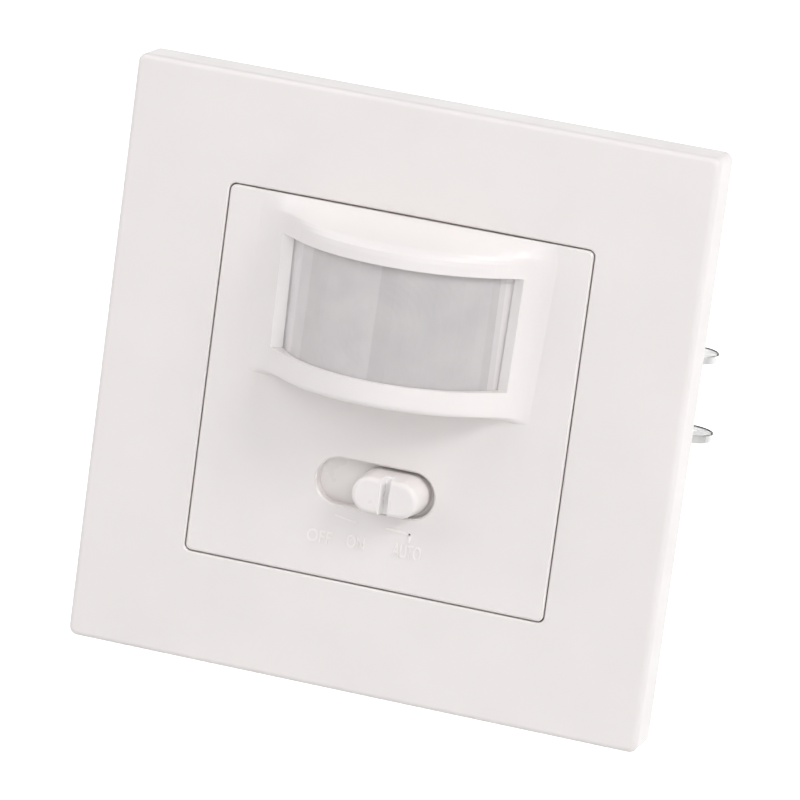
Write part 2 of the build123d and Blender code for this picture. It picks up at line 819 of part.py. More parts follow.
# Sensor board: corners cut for the housing bosses, holes for leads, pins and screws
with BuildPart() as sensor_board:
    with BuildSketch(facing(-board_back)):
        Rectangle(board_side, board_side - 2 * board_notch)
        Rectangle(board_side - 2 * board_notch, board_side)
        with Locations((0, -slot_drop)):
            with GridLocations(switch_pin_pitch, 0, switch_pin_count, 1):
                pin_hole = switch_pin_side + 2 * lead_fit
                Rectangle(pin_hole, pin_hole, mode=Mode.SUBTRACT)
        with Locations((0, sensor_height)):
            with PolarLocations(sensor_lead_circle, sensor_lead_count):
                RegularPolygon(sensor_lead_radius + lead_fit, lead_sides, mode=Mode.SUBTRACT)
        with Locations((light_cell_place, light_cell_height)):
            with GridLocations(light_cell_lead_pitch, 0, 2, 1):
                RegularPolygon(sensor_lead_radius + lead_fit, lead_sides, mode=Mode.SUBTRACT)
        with Locations((0, standoff_height)):
            with GridLocations(standoff_spacing, 0, 2, 1):
                Circle(board_screw_radius + screw_clearance, mode=Mode.SUBTRACT)
        with Locations((0, link_height)):
            with GridLocations(link_pitch, 0, link_pin_count, 1):
                pin_hole = link_pin_side + 2 * link_pin_fit
                Rectangle(pin_hole, pin_hole, mode=Mode.SUBTRACT)
    extrude(amount=board_thickness)
sensor_board.part.label = "sensor_board"
export_step(sensor_board.part, "parts/sensor_board.step")

# Motion sensor: a metal can on a plastic ring, with a square pane and three leads
spacer_front = sensor_spacer - sensor_board_drop
can_front = spacer_front + sensor_flange + sensor_can_height
with BuildPart() as sensor_spacer_ring:
    with BuildSketch(facing(-sensor_board_drop)):
        with Locations((0, sensor_height)):
            Circle(sensor_spacer_radius)
            with PolarLocations(sensor_lead_circle, sensor_lead_count):
                RegularPolygon(sensor_lead_radius + lead_fit, lead_sides, mode=Mode.SUBTRACT)
    extrude(amount=sensor_spacer)
sensor_spacer_ring.part.label = "sensor_spacer"
export_step(sensor_spacer_ring.part, "parts/sensor_spacer.step")

with BuildPart() as motion_sensor_can:
    with BuildSketch(facing(spacer_front)):
        with Locations((0, sensor_height)):
            Circle(sensor_flange_radius)
    extrude(amount=sensor_flange)
    with BuildSketch(facing(spacer_front + sensor_flange)):
        with Locations((0, sensor_height)):
            Circle(sensor_can_radius)
    extrude(amount=sensor_can_height)
    chamfer(motion_sensor_can.edges().group_by(Axis.Y)[0], sensor_flange)
    with BuildSketch(facing(can_front - sensor_pane)):
        with Locations((0, sensor_height)):
            Rectangle(sensor_pane_side, sensor_pane_side)
    extrude(amount=sensor_pane, mode=Mode.SUBTRACT)
motion_sensor_can.part.label = "motion_sensor_can"
export_step(motion_sensor_can.part, "parts/motion_sensor_can.step")

with BuildPart() as motion_sensor_pane:
    with BuildSketch(facing(can_front - sensor_pane)):
        with Locations((0, sensor_height)):
            Rectangle(sensor_pane_side, sensor_pane_side)
    extrude(amount=sensor_pane)
motion_sensor_pane.part.label = "motion_sensor_pane"
export_step(motion_sensor_pane.part, "parts/motion_sensor_pane.step")

with BuildPart() as motion_sensor_leads:
    with BuildSketch(facing(-board_back - lead_tail)):
        with Locations((0, sensor_height)):
            with PolarLocations(sensor_lead_circle, sensor_lead_count):
                RegularPolygon(sensor_lead_radius, lead_sides)
    extrude(amount=spacer_front + board_back + lead_tail)
motion_sensor_leads.part.label = "motion_sensor_leads"
export_step(motion_sensor_leads.part, "parts/motion_sensor_leads.step")

# Light cell: a disc on two leads that dims the switch by day
cell_back = light_cell_stand - sensor_board_drop
with BuildPart() as light_cell:
    with BuildSketch(facing(cell_back)):
        with Locations((light_cell_place, light_cell_height)):
            Circle(light_cell_radius)
    extrude(amount=light_cell_thickness)
    with BuildSketch(facing(cell_back)):
        with Locations((light_cell_place, light_cell_height)):
            with GridLocations(light_cell_lead_pitch, 0, 2, 1):
                RegularPolygon(sensor_lead_radius, lead_sides)
    extrude(amount=-(cell_back + board_back + lead_tail))
light_cell.part.label = "light_cell"
export_step(light_cell.part, "parts/light_cell.step")

# Trimmers for light level and time: a base on the board and a slotted dial that turns in it
dial_back = trimmer_height - sensor_board_drop
for trimmer_name, trimmer_side_sign in (("lux", -1), ("time", 1)):
    trimmer_place = (trimmer_side_sign * dial_spacing / 2, -dial_drop)
    with BuildPart() as trimmer_base:
        with BuildSketch(facing(-sensor_board_drop)):
            with Locations(trimmer_place):
                Rectangle(trimmer_side, trimmer_side)
        extrude(amount=trimmer_height)
        with BuildSketch(facing(dial_back)):
            with Locations(trimmer_place):
                Circle(dial_pin_radius + dial_pin_fit)
        extrude(amount=-dial_pin_length - dial_pin_fit, mode=Mode.SUBTRACT)
    trimmer_base.part.label = f"{trimmer_name}_trimmer_base"
    export_step(trimmer_base.part, f"parts/{trimmer_name}_trimmer_base.step")

    with BuildPart() as trimmer_dial:
        with BuildSketch(facing(dial_back)):
            with Locations(trimmer_place):
                Circle(dial_radius)
        extrude(amount=dial_height)
        with BuildSketch(facing(dial_back)):
            with Locations(trimmer_place):
                Circle(dial_pin_radius)
        extrude(amount=-dial_pin_length)
        with BuildSketch(facing(dial_back + dial_height)):
            with Locations(trimmer_place):
                Rectangle(dial_slot_width, 2 * dial_radius)
        extrude(amount=-dial_slot_depth, mode=Mode.SUBTRACT)
    trimmer_dial.part.label = f"{trimmer_name}_trimmer_dial"
    export_step(trimmer_dial.part, f"parts/{trimmer_name}_trimmer_dial.step")

# Controller chip on the back of the sensor board
with BuildPart() as controller_chip:
    with BuildSketch(facing(-board_back)):
        with Locations((chip_place, -chip_drop)):
            Rectangle(chip_length, chip_width)
    extrude(amount=-chip_height)
    with BuildSketch(facing(-board_back)):
        with Locations((chip_place, -chip_drop)):
            with GridLocations(chip_leg_pitch, 0, chip_leg_count, 1):
                Rectangle(chip_leg_width, chip_width + 2 * chip_leg_reach)
    extrude(amount=-chip_leg_thickness)
controller_chip.part.label = "controller_chip"
export_step(controller_chip.part, "parts/controller_chip.step")

# Two small capacitors and a patch of chip parts beside it
with BuildPart() as board_capacitors:
    with BuildSketch(facing(-board_back)):
        with Locations((capacitor_place, 0)):
            with GridLocations(0, capacitor_pitch, 1, 2):
                Circle(capacitor_radius)
    extrude(amount=-capacitor_height)
board_capacitors.part.label = "board_capacitors"
export_step(board_capacitors.part, "parts/board_capacitors.step")

with BuildPart() as chip_parts:
    with BuildSketch(facing(-board_back)):
        with Locations((chip_part_place, chip_part_height_on_board)):
            with GridLocations(
                chip_part_pitch_x, chip_part_pitch_z, chip_part_columns, chip_part_rows
            ):
                Rectangle(chip_part_length, chip_part_width)
    extrude(amount=-chip_part_height)
chip_parts.part.label = "chip_parts"
export_step(chip_parts.part, "parts/chip_parts.step")

# Two screws that hold the sensor board on the shell's standoffs
with BuildPart() as board_screws:
    with BuildSketch(facing(-board_back)):
        with Locations((0, standoff_height)):
            with GridLocations(standoff_spacing, 0, 2, 1):
                Circle(board_screw_radius)
    extrude(amount=board_thickness + board_screw_reach)
    with BuildSketch(facing(-board_back)):
        with Locations((0, standoff_height)):
            with GridLocations(standoff_spacing, 0, 2, 1):
                Circle(board_screw_head_radius)
    extrude(amount=-board_screw_head)
board_screws.part.label = "board_screws"
export_step(board_screws.part, "parts/board_screws.step")

# Link between the boards: a pin strip on the sensor board and a tall socket on the power board
link_length = link_pin_count * link_pitch
socket_mouth = power_board_drop - link_socket_depth
pin_hole = link_pin_side + 2 * link_pin_fit
with BuildPart() as link_strip:
    with BuildSketch(facing(-board_back)):
        with Locations((0, link_height)):
            Rectangle(link_length, link_pitch)
            with GridLocations(link_pitch, 0, link_pin_count, 1):
                Rectangle(pin_hole, pin_hole, mode=Mode.SUBTRACT)
    extrude(amount=-link_strip_depth)
link_strip.part.label = "link_strip"
export_step(link_strip.part, "parts/link_strip.step")

with BuildPart() as link_pins:
    with BuildSketch(facing(link_pin_tail - sensor_board_drop)):
        with Locations((0, link_height)):
            with GridLocations(link_pitch, 0, link_pin_count, 1):
                Rectangle(link_pin_side, link_pin_side)
    extrude(amount=-(link_pin_tail - sensor_board_drop + socket_mouth + link_pin_seat))
link_pins.part.label = "link_pins"
export_step(link_pins.part, "parts/link_pins.step")

with BuildPart() as link_socket:
    with BuildSketch(facing(-power_board_drop)):
        with Locations((0, link_height)):
            Rectangle(link_length, link_pitch)
    extrude(amount=link_socket_depth)
    with BuildSketch(facing(-socket_mouth)):
        with Locations((0, link_height)):
            with GridLocations(link_pitch, 0, link_pin_count, 1):
                Rectangle(pin_hole, pin_hole)
    extrude(amount=-link_pin_seat - link_pin_fit, mode=Mode.SUBTRACT)
link_socket.part.label = "link_socket"
export_step(link_socket.part, "parts/link_socket.step")

# Power board: cut corners, side notches for the housing recesses, screw holes, contact holes
contact_leg_place = (
    housing_wall - housing_side / 2 + wire_wall + cage_gap + contact_leg_gap + cage_length
)
contact_hole = contact_thickness + 2 * lead_fit
with BuildPart() as power_board:
    with BuildSketch(facing(-power_board_back)) as power_outline:
        Rectangle(board_side, board_side)
        chamfer(power_outline.vertices(), power_board_chamfer)
        with GridLocations(board_side, 0, 2, 1):
            Rectangle(2 * power_board_notch_depth, power_board_notch_height, mode=Mode.SUBTRACT)
        with GridLocations(pillar_spacing_x, pillar_spacing_z, 2, 2):
            Circle(board_screw_radius + screw_clearance, mode=Mode.SUBTRACT)
        with Locations((0, contact_leg_place + contact_thickness / 2)):
            with GridLocations(pole_pitch, 0, pole_count, 1):
                Rectangle(contact_width + 2 * lead_fit, contact_hole, mode=Mode.SUBTRACT)
    extrude(amount=board_thickness)
power_board.part.label = "power_board"
export_step(power_board.part, "parts/power_board.step")

with BuildPart() as power_board_screws:
    with BuildSketch(facing(-power_board_drop)):
        with GridLocations(pillar_spacing_x, pillar_spacing_z, 2, 2):
            Circle(board_screw_radius)
    extrude(amount=-board_thickness - pillar_pilot_depth + board_screw_head)
    with BuildSketch(facing(-power_board_drop)):
        with GridLocations(pillar_spacing_x, pillar_spacing_z, 2, 2):
            Circle(board_screw_head_radius)
    extrude(amount=board_screw_head)
power_board_screws.part.label = "power_board_screws"
export_step(power_board_screws.part, "parts/power_board_screws.step")

# Relay
with BuildPart() as relay:
    with BuildSketch(facing(-power_board_drop)):
        with Locations((relay_place, -relay_drop)):
            Rectangle(relay_length, relay_width)
    extrude(amount=relay_height)
    fillet(front_edges(relay), relay_edge_radius)
relay.part.label = "relay"
export_step(relay.part, "parts/relay.step")

# Film capacitor
with BuildPart() as film_capacitor:
    with BuildSketch(facing(-power_board_drop)):
        with Locations((film_place, film_rise)):
            Rectangle(film_length, film_width)
    extrude(amount=film_height)
    fillet(front_edges(film_capacitor), film_edge_radius)
film_capacitor.part.label = "film_capacitor"
export_step(film_capacitor.part, "parts/film_capacitor.step")

# Smoothing capacitor, with the rolled bead near its foot
with BuildPart() as smoothing_capacitor:
    with BuildSketch(facing(-power_board_drop)):
        with Locations((smoothing_place, -smoothing_drop)):
            Circle(smoothing_radius)
    extrude(amount=smoothing_height)
    with BuildSketch(facing(smoothing_bead_height - power_board_drop)):
        with Locations((smoothing_place, -smoothing_drop)):
            Circle(smoothing_radius)
            Circle(smoothing_radius - smoothing_bead, mode=Mode.SUBTRACT)
    extrude(amount=smoothing_bead, mode=Mode.SUBTRACT)
smoothing_capacitor.part.label = "smoothing_capacitor"
export_step(smoothing_capacitor.part, "parts/smoothing_capacitor.step")

# Bridge rectifier
with BuildPart() as bridge_rectifier:
    with BuildSketch(facing(-power_board_drop)):
        with Locations((bridge_place, bridge_rise)):
            Rectangle(bridge_length, bridge_width)
    extrude(amount=bridge_height)
bridge_rectifier.part.label = "bridge_rectifier"
export_step(bridge_rectifier.part, "parts/bridge_rectifier.step")

# Surge disc, standing on its edge
with BuildPart() as surge_disc:
    with BuildSketch(Plane.XY.offset(surge_rise)):
        with Locations((surge_place, power_board_drop - surge_radius)):
            Circle(surge_radius)
    extrude(amount=surge_thickness / 2, both=True)
surge_disc.part.label = "surge_disc"
export_step(surge_disc.part, "parts/surge_disc.step")

# Fuse in a round case
with BuildPart() as fuse:
    with BuildSketch(facing(-power_board_drop)):
        with Locations((fuse_place, -fuse_drop)):
            Circle(fuse_radius)
    extrude(amount=fuse_height)
fuse.part.label = "fuse"
export_step(fuse.part, "parts/fuse.step")

# Two power resistors lying on the board
with BuildPart() as power_resistors:
    for turn in (-1, 1):
        start = resistor_place + turn * resistor_pitch / 2 - resistor_length / 2
        axis_drop = power_board_drop - resistor_radius
        with BuildSketch(Plane.YZ.offset(start)):
            with Locations((axis_drop, resistor_rise)):
                Circle(resistor_radius)
        extrude(amount=resistor_length)
        for end in (start, start + resistor_length - 2 * resistor_lead):
            with BuildSketch(facing(-power_board_drop)):
                with Locations((end + resistor_lead, resistor_rise)):
                    Rectangle(2 * resistor_lead, 2 * resistor_lead)
            extrude(amount=resistor_radius)
power_resistors.part.label = "power_resistors"
export_step(power_resistors.part, "parts/power_resistors.step")

# Terminal block behind the power board: one cell per pole, wire holes below, screw bores behind
block_bottom = housing_wall - housing_side / 2
block_middle = block_bottom + block_height / 2
cell_bottom = block_bottom + wire_wall
cage_bottom = cell_bottom + cage_gap
cage_middle = cage_bottom + cage_length / 2
cage_front = power_board_back + block_base + cage_gap
wire_middle = cage_front + cage_front_wall + wire_space / 2
contact_front = cage_front + cage_front_wall + wire_space
contact_back = contact_front + contact_thickness
thread_front = contact_back + contact_gap
cage_back = thread_front + cage_thread_wall
head_front = cage_back + cage_travel + contact_gap
block_width = pole_count * pole_pitch
with BuildPart() as terminal_block:
    with BuildSketch(facing(-power_board_back)):
        with Locations((0, block_middle)):
            Rectangle(block_width, block_height)
    extrude(amount=power_board_back - housing_floor)
    with BuildSketch(facing(-power_board_back - block_base)):
        with Locations((0, cell_bottom)):
            with GridLocations(pole_pitch, 0, pole_count, 1):
                Rectangle(
                    block_cell_width,
                    contact_leg_place + contact_hole - cell_bottom,
                    align=(Align.CENTER, Align.MIN),
                )
    extrude(amount=power_board_back + block_base - head_front, mode=Mode.SUBTRACT)
    with BuildSketch(facing(-power_board_back)):
        with Locations((0, contact_leg_place + contact_thickness / 2)):
            with GridLocations(pole_pitch, 0, pole_count, 1):
                Rectangle(contact_width + 2 * lead_fit, contact_hole)
    extrude(amount=-block_base, mode=Mode.SUBTRACT)
    with BuildSketch(facing(-head_front)):
        with Locations((0, cage_middle)):
            with GridLocations(pole_pitch, 0, pole_count, 1):
                Circle(terminal_head_radius + terminal_head_clearance)
    extrude(amount=head_front - housing_floor, mode=Mode.SUBTRACT)
    with BuildSketch(Plane.XY.offset(block_bottom)):
        with Locations((0, wire_middle)):
            with GridLocations(pole_pitch, 0, pole_count, 1):
                Circle(wire_hole_radius)
    extrude(amount=wire_wall, mode=Mode.SUBTRACT)
terminal_block.part.label = "terminal_block"
export_step(terminal_block.part, "parts/terminal_block.step")

# Contacts: one strip per pole through its cage, bent forward into the power board
with BuildPart() as terminal_contacts:
    with BuildSketch(facing(-contact_back)):
        with Locations((0, cage_bottom)):
            with GridLocations(pole_pitch, 0, pole_count, 1):
                Rectangle(
                    contact_width,
                    contact_leg_place + contact_thickness - cage_bottom,
                    align=(Align.CENTER, Align.MIN),
                )
    extrude(amount=contact_thickness)
    with BuildSketch(facing(-contact_back)):
        with Locations((0, contact_leg_place + contact_thickness / 2)):
            with GridLocations(pole_pitch, 0, pole_count, 1):
                Rectangle(contact_width, contact_thickness)
    extrude(amount=contact_back - power_board_drop - contact_gap)
terminal_contacts.part.label = "terminal_contacts"
export_step(terminal_contacts.part, "parts/terminal_contacts.step")

# One rising cage and one captive screw per pole
for pole, pole_place in enumerate(pole_places, start=1):
    with BuildPart() as terminal_cage:
        with BuildSketch(Plane.XY.offset(cage_bottom)):
            with Locations((pole_place, (cage_front + cage_back) / 2)):
                Rectangle(cage_width, cage_back - cage_front)
        extrude(amount=cage_length)
        with BuildSketch(Plane.XY.offset(cage_bottom)):
            with Locations((pole_place, (cage_front + cage_front_wall + thread_front) / 2)):
                Rectangle(
                    cage_width - 2 * cage_side_wall,
                    thread_front - cage_front - cage_front_wall,
                )
        extrude(amount=cage_length, mode=Mode.SUBTRACT)
        with BuildSketch(facing(-cage_back)):
            with Locations((pole_place, cage_middle)):
                Circle(terminal_screw_radius + terminal_screw_fit)
        extrude(amount=cage_thread_wall, mode=Mode.SUBTRACT)
    terminal_cage.part.label = f"terminal_cage_{pole}"
    export_step(terminal_cage.part, f"parts/terminal_cage_{pole}.step")

    with BuildPart() as terminal_screw:
        with BuildSketch(facing(-head_front)):
            with Locations((pole_place, cage_middle)):
                Circle(terminal_screw_radius)
        extrude(amount=head_front - thread_front)
        with BuildSketch(facing(-head_front)):
            with Locations((pole_place, cage_middle)):
                Circle(terminal_head_radius)
        extrude(amount=-terminal_head)
        with BuildSketch(facing(-head_front - terminal_head)):
            with Locations((pole_place, cage_middle)):
                Rectangle(2 * terminal_head_radius, terminal_head_slot)
        extrude(amount=terminal_head / 2, mode=Mode.SUBTRACT)
    terminal_screw.part.label = f"terminal_screw_{pole}"
    export_step(terminal_screw.part, f"parts/terminal_screw_{pole}.step")

# Inside of the rear housing: the outer form less one wall all round
housing_inner = housing_side - 2 * housing_wall
corner_share = 2 - 2**0.5
inner_corner = housing_corner - housing_wall * corner_share
with BuildPart() as housing_inside:
    with BuildSketch(facing(0)) as inner_outline:
        Rectangle(housing_inner, housing_inner)
        chamfer(inner_outline.vertices(), inner_corner)
    extrude(amount=-housing_floor)
    for side in (-1, 1):
        wall = side * housing_inner / 2
        with BuildSketch(Plane.XY.offset(-recess_height / 2 - housing_wall)):
            with BuildLine():
                Polyline(
                    (wall, 0),
                    (wall - side * recess_back_depth, housing_depth),
                    (2 * wall, housing_depth),
                    (2 * wall, 0),
                    close=True,
                )
            make_face()
        extrude(amount=recess_height + 2 * housing_wall, mode=Mode.SUBTRACT)

# Rear housing: a cup with cut corners and a tapered recess at each side for a claw
with BuildPart() as rear_housing:
    with BuildSketch(facing(0)) as housing_outline:
        Rectangle(housing_side, housing_side)
        chamfer(housing_outline.vertices(), housing_corner)
    extrude(amount=-housing_depth)
    for side in (-1, 1):
        wall = side * housing_side / 2
        with BuildSketch(Plane.XY.offset(-recess_height / 2)):
            with BuildLine():
                Polyline(
                    (wall, 0),
                    (wall - side * recess_back_depth, housing_depth),
                    (2 * wall, housing_depth),
                    (2 * wall, 0),
                    close=True,
                )
            make_face()
        extrude(amount=recess_height, mode=Mode.SUBTRACT)
    fillet(rear_housing.faces().sort_by(Axis.Y)[-1].edges(), housing_edge_radius)
    add(housing_inside.part, mode=Mode.SUBTRACT)
    with BuildSketch(facing(0)):
        with GridLocations(shell_screw_spacing, shell_screw_spacing, 2, 2):
            Circle(housing_boss_radius)
    extrude(amount=-housing_boss_length)
    with BuildSketch(facing(0)):
        with GridLocations(shell_screw_spacing, shell_screw_spacing, 2, 2):
            Circle(shell_screw_radius + thread_fit)
    extrude(amount=-shell_screw_reach - thread_fit, mode=Mode.SUBTRACT)
    with BuildSketch(facing(-housing_floor)):
        with GridLocations(pillar_spacing_x, pillar_spacing_z, 2, 2):
            Circle(pillar_radius)
    extrude(amount=housing_floor - power_board_back)
    with BuildSketch(facing(-power_board_back)):
        with GridLocations(pillar_spacing_x, pillar_spacing_z, 2, 2):
            Circle(board_screw_radius + thread_fit)
    extrude(amount=-pillar_pilot_depth, mode=Mode.SUBTRACT)
    with BuildSketch(facing(-housing_depth)):
        with Locations((0, cage_middle)):
            with GridLocations(pole_pitch, 0, pole_count, 1):
                Circle(access_hole_radius)
    extrude(amount=housing_wall, mode=Mode.SUBTRACT)
    with BuildSketch(Plane.XY.offset(-housing_side / 2)):
        with Locations((0, wire_middle)):
            with GridLocations(pole_pitch, 0, pole_count, 1):
                Circle(wire_hole_radius)
    extrude(amount=housing_wall, mode=Mode.SUBTRACT)
rear_housing.part.label = "rear_housing"
export_step(rear_housing.part, "parts/rear_housing.step")

# Right-hand claw: two toothed flanges joined by a web that the screw passes through
claw_place = claw_spacing / 2
arm_inner = claw_place - claw_arm_width / 2
arm_outer = claw_place + claw_arm_width / 2
foot_inner = claw_place - claw_foot_inner
foot_outer = claw_place + claw_foot_outer
with BuildPart() as claw_right:
    for flange_bottom in (-claw_inner_gap / 2 - claw_sheet, claw_inner_gap / 2):
        with BuildSketch(Plane.XY.offset(flange_bottom)) as flange_outline:
            with BuildLine():
                Polyline(
                    (arm_inner, claw_pivot_drop),
                    (arm_inner, claw_arm_end),
                    (foot_inner, claw_foot_start),
                    (foot_inner, claw_back),
                    (foot_outer, claw_back),
                    (foot_outer + claw_tooth, claw_back - claw_tooth),
                    (foot_outer, claw_back - 2 * claw_tooth),
                    (arm_outer, claw_arm_end - claw_arm_width),
                    (arm_outer, claw_pivot_drop),
                )
                ThreePointArc(
                    (arm_outer, claw_pivot_drop),
                    (claw_place, claw_pivot_drop - claw_toe_radius),
                    (arm_inner, claw_pivot_drop),
                )
            make_face()
            fillet(flange_outline.vertices().sort_by(Axis.X)[-1], claw_tooth_rounding)
        extrude(amount=claw_sheet)
    with BuildSketch(Plane.XY.offset(-claw_inner_gap / 2)):
        with Locations((foot_inner, claw_web_start)):
            Rectangle(foot_outer - foot_inner, claw_sheet, align=(Align.MIN, Align.MIN))
    extrude(amount=claw_inner_gap)
    with BuildSketch(facing(-claw_web_start - claw_sheet)):
        with Locations((claw_place, 0)):
            Circle(claw_screw_radius + claw_screw_fit)
    extrude(amount=claw_sheet, mode=Mode.SUBTRACT)
claw_right.part.label = "claw_right"
export_step(claw_right.part, "parts/claw_right.step")

# Left-hand claw: the mirror image
with BuildPart() as claw_left:
    mirror(claw_right.part, about=Plane.YZ)
claw_left.part.label = "claw_left"
export_step(claw_left.part, "parts/claw_left.step")

# Claw screws: slotted heads in front of the carrier, shanks through it and through the web
head_back = carrier_thickness + claw_head_stand
for screw_name, side in (("claw_screw_right", 1), ("claw_screw_left", -1)):
    with BuildPart() as claw_screw:
        with BuildSketch(facing(-claw_screw_end)):
            with Locations((side * claw_place, 0)):
                Circle(claw_screw_radius)
        extrude(amount=claw_screw_end + head_back)
        chamfer(claw_screw.edges().group_by(Axis.Y)[-1], claw_screw_radius / 2)
        with BuildSketch(facing(head_back)):
            with Locations((side * claw_place, 0)):
                Circle(claw_head_radius)
        extrude(amount=claw_head_height)
        with BuildSketch(facing(head_back + claw_head_height)):
            with Locations((side * claw_place, 0)):
                Rectangle(2 * claw_head_radius, claw_head_slot)
        extrude(amount=-claw_head_height / 2, mode=Mode.SUBTRACT)
    claw_screw.part.label = screw_name
    export_step(claw_screw.part, f"parts/{screw_name}.step")
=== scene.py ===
import math

import bmesh
import bpy
from mathutils import Matrix, Vector


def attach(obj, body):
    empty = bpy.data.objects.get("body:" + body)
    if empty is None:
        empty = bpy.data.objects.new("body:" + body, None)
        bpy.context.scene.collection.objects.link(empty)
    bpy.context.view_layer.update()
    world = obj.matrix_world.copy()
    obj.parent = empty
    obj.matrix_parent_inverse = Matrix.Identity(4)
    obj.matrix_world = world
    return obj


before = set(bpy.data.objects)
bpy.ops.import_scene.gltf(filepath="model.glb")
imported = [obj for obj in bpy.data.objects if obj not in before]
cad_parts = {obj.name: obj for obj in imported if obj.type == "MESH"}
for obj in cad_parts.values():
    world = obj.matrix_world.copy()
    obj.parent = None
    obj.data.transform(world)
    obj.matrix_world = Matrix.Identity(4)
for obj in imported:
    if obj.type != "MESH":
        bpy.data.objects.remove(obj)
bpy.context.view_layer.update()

# The part's sizes are given in millimetres and turned into metres by this
MM = 0.001

# Camera at the photograph's viewing angle: place in metres, turn in degrees, lens and sensor in millimetres
CAMERA_PLACE = (0.202013, -0.717937, 0.168752)
CAMERA_TURN = (77.0858, -7.4636, 17.4161)
CAMERA_LENS = 260.035
CAMERA_SENSOR = 36.0

# Range that holds most of a noise's values
NOISE_LOW = 0.3
NOISE_HIGH = 0.7

# Lens: half the width that its facets' painted shading is laid over, height of its rings' centre
LENS_HALF = 17
LENS_CENTRE = 12.3

# Window's side walls in the cover, where painted light lifts their shade, each as middle and reach: distance
# from the middle plane times the share by which the wall faces that plane, and height
PAINTED_LIGHT_WALL_SLANT = (-7.25, 0.6)
PAINTED_LIGHT_WALL_HEIGHT = (12.35, 7.65)

# Groove in the slide knob, where painted light lifts its shade, each as middle and reach: its width and its
# depth
PAINTED_LIGHT_GROOVE_WIDTH = (2.55, 0.69)
PAINTED_LIGHT_GROOVE_DEPTH = (-9.45, 1.07)

# Faces that carry raised marks, and the marks' sizes
PANEL_LEVEL = 6.2
REAR_LEVEL = 37.0
CAPITAL_SHARE = 0.73
LETTER_RISE = 0.05
LETTER_ROUNDING = 0.03
LINE_WIDTH = 0.28
LINE_RISE = 0.1
LINE_TAPER = 0.04
POLE_SPACING = 9.5
POLE_NUMBER_HEIGHT = 2.4
POLE_NUMBER_PLACE = -11.6
POLE_NUMBER_RISE = 0.15

# Threads on the claws' long screws
SCREW_PLACE = 26.0
THREAD_START = 6.0
THREAD_END = 36.8
THREAD_RADIUS = 1.88
THREAD_PITCH = 0.7
THREAD_DEPTH = 0.22

# Tongues at the ends of the claws' flanges, with a dark bead round each tip as painted shadow along its edge
FLANGE_FACE = 6.05
FLANGE_THICKNESS = 1.1
TONGUE_ROOT = 31.2
TONGUE_MIDDLE = 33.8
TONGUE_HALF = 3.1
UPPER_TONGUE_REACH = 3.0
LOWER_TONGUE_REACH = 3.8
EDGE_SHADOW_RADIUS = 0.14
# Level from the flange's face, and inset, of each outline from a tongue's face to its back
TONGUE_LAYERS = ((0.02, 0.1), (-0.08, 0.0), (-1.04, 0.0), (-1.12, 0.1))

# Floor and backdrop, in metres
FLOOR_LEVEL = -0.22
FLOOR_HALF = 3.0
FLOOR_END = 1.2
BACKDROP_BEND = 0.8
BACKDROP_TOP = 1.2
BEND_STEPS = 8
GLOW_END = 0.5
GLOW = 0.9

# Soft lights: name, place and side in metres, power in watts
LIGHTS = (
    ("key", (0.9, -0.55, 0.85), 0.5, 7.7),
    ("front", (0.45, -1.2, 0.45), 1.1, 6.8),
    ("back", (0.6, 0.05, 1.1), 0.5, 1.7),
    ("right", (1.3, -0.4, 0.2), 0.6, 2.0),
    ("left", (-1.2, -0.5, 0.3), 0.8, 2.4),
    ("upper left", (-0.9, -0.45, 0.85), 1.2, 7.9),
)
WORLD_STRENGTH = 0.12


# Shader nodes

def give(tree, socket, value):
    """Links a socket to another one, or gives it a constant value."""
    if isinstance(value, bpy.types.NodeSocket):
        tree.links.new(value, socket)
    else:
        socket.default_value = value


def calculated(tree, operation, *values):
    """Result of a math node on sockets or constants."""
    node = tree.nodes.new("ShaderNodeMath")
    node.operation = operation
    for socket, value in zip(node.inputs, values):
        give(tree, socket, value)
    return node.outputs["Value"]


def remapped(tree, value, start, end, low, high):
    """A value's range start to end turned into the range low to high."""
    node = tree.nodes.new("ShaderNodeMapRange")
    node.inputs["From Min"].default_value = start
    node.inputs["From Max"].default_value = end
    node.inputs["To Min"].default_value = low
    node.inputs["To Max"].default_value = high
    tree.links.new(value, node.inputs["Value"])
    return node.outputs["Result"]


def near(tree, value, middle, reach):
    """One where a value in metres is within reach of the middle, both in millimetres, else nought."""
    return calculated(tree, "COMPARE", value, middle * MM, reach * MM)


def mixed(tree, kind, factor, first, second):
    """Mix of two colours; kind is the way they are mixed."""
    node = tree.nodes.new("ShaderNodeMix")
    node.data_type = "RGBA"
    node.blend_type = kind
    give(tree, node.inputs["Factor"], factor)
    give(tree, node.inputs["A"], first)
    give(tree, node.inputs["B"], second)
    return node.outputs["Result"]


def ramp(tree, value, stops, constant=False):
    """Colour ramp over a value; stops are (position, colour)."""
    node = tree.nodes.new("ShaderNodeValToRGB")
    node.color_ramp.interpolation = "CONSTANT" if constant else "LINEAR"
    elements = node.color_ramp.elements
    elements[0].position, elements[0].color = stops[0][0], (*stops[0][1], 1)
    elements[1].position, elements[1].color = stops[-1][0], (*stops[-1][1], 1)
    for position, colour in stops[1:-1]:
        elements.new(position).color = (*colour, 1)
    tree.links.new(value, node.inputs["Fac"])
    return node.outputs["Color"]


def coordinates(tree, stretch=(1, 1, 1), shift=(0, 0, 0)):
    """The part's own coordinates in metres, stretched and shifted."""
    source = tree.nodes.new("ShaderNodeTexCoord")
    mapping = tree.nodes.new("ShaderNodeMapping")
    mapping.inputs["Scale"].default_value = stretch
    mapping.inputs["Location"].default_value = shift
    tree.links.new(source.outputs["Object"], mapping.inputs["Vector"])
    return mapping.outputs["Vector"]


def axes(tree, kind):
    """Sockets X, Y and Z of the part's coordinates (Object) or the surface's direction (Normal)."""
    source = tree.nodes.new("ShaderNodeTexCoord")
    node = tree.nodes.new("ShaderNodeSeparateXYZ")
    tree.links.new(source.outputs[kind], node.inputs["Vector"])
    return node.outputs


